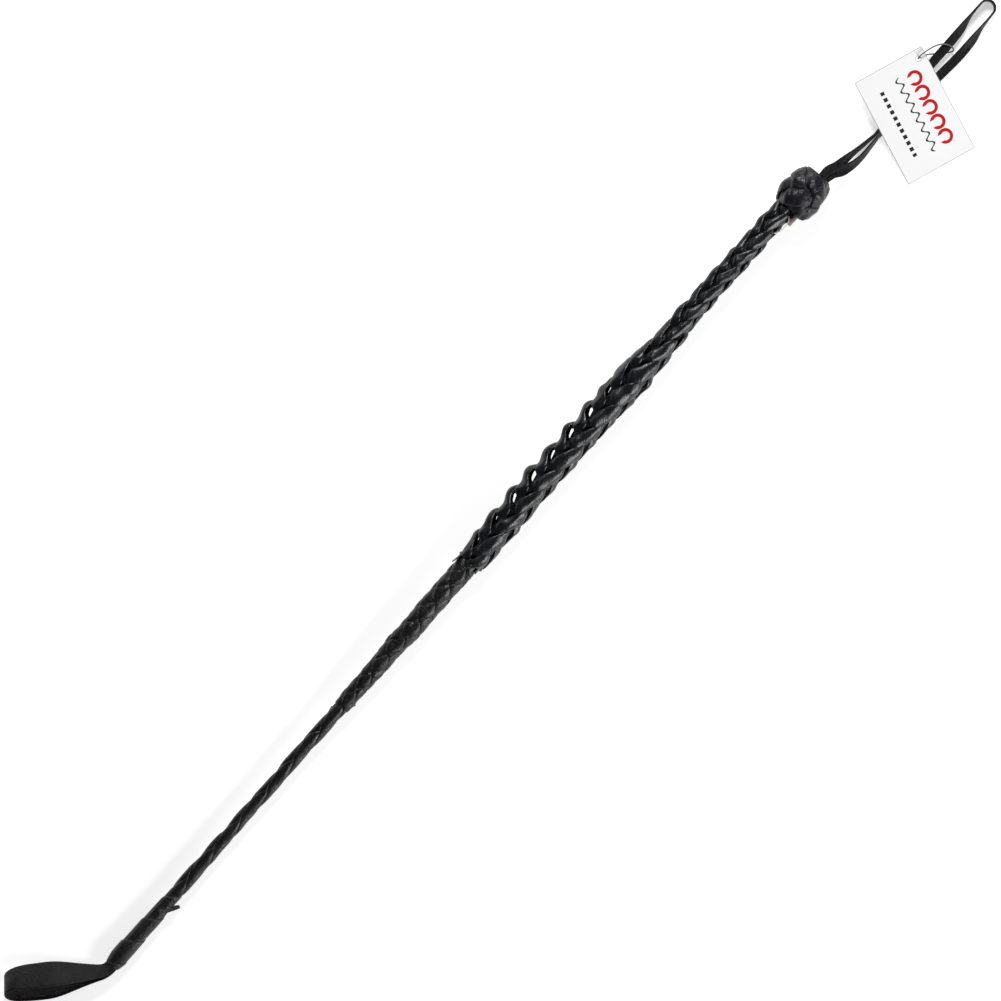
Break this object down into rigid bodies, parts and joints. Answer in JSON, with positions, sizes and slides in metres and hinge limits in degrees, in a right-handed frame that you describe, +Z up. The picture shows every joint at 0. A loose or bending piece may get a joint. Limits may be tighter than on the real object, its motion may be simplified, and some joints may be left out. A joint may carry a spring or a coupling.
{
  "type": "riding crop",
  "caption": "Straight riding crop with a tapered rod under plaited black leather, a folded keeper at the tip, a butt knot, a thin wrist loop and a hang tag.",
  "frame": {"origin": "on the table, under the middle of the crop's footprint, with the wrist loop and tag counted and the tag's string left out", "axes": "+X along the shaft from the keeper to the wrist loop, +Y to the side that the keeper bends to, +Z up"},
  "size_m": [0.924, 0.1184, 0.0319],
  "materials": {
    "plait_leather": "semi-gloss black lace",
    "wrap_leather": "satin black, grained",
    "strap_leather": "satin black, grained",
    "knot_leather": "glossy black lace",
    "filler_leather": "rough split leather",
    "raw_leather": "undyed split leather",
    "rod": "glass-fibre rod",
    "card": "smooth white card",
    "string": "fine twisted thread"
  },
  "bodies": {
    "shaft": {"core_rod": "rod", "middle_filler": "filler_leather", "grip_filler": "filler_leather", "tip_wrap": "wrap_leather", "keeper_tail_1": "strap_leather", "keeper_tail_2": "strap_leather", "thin_lace_1": "plait_leather", "thin_lace_2": "plait_leather", "thin_lace_3": "plait_leather", "thin_lace_4": "plait_leather", "middle_lace_1": "plait_leather", "middle_lace_2": "plait_leather", "middle_lace_3": "plait_leather", "middle_lace_4": "plait_leather", "middle_lace_5": "plait_leather", "middle_lace_6": "plait_leather", "grip_lace_1": "plait_leather", "grip_lace_2": "plait_leather", "grip_lace_3": "plait_leather", "grip_lace_4": "plait_leather", "grip_lace_5": "plait_leather", "grip_lace_6": "plait_leather", "grip_lace_7": "plait_leather", "grip_lace_8": "plait_leather", "knot_core": "filler_leather", "knot_lace": "knot_leather", "raw_lace_end": "raw_leather", "wrist_loop_tail_1": "strap_leather", "wrist_loop_tail_2": "strap_leather"},
    "keeper": {"keeper": "strap_leather"},
    "wrist_loop": {"wrist_loop": "strap_leather"},
    "hang_tag": {"hang_tag": "card", "tag_string": "string"}
  },
  "joints": [
    {"name": "keeper_flex", "type": "hinge", "parent": "shaft", "child": "keeper", "pos_m": [-0.40134, 0.00882, 0.00614], "axis": [0, -0.7071, 0.7071], "range_deg": [-35, 35]},
    {"name": "wrist_loop_lift", "type": "hinge", "parent": "shaft", "child": "wrist_loop", "pos_m": [0.30258, 0.00882, 0.01394], "axis": [0, -1, 0], "range_deg": [-40, 80]},
    {"name": "tag_swing", "type": "hinge", "parent": "wrist_loop", "child": "hang_tag", "pos_m": [0.42139, -0.00078, 0.00807], "axis": [0, -0.1253, 0.9921], "range_deg": [-30, 8]}
  ]
}
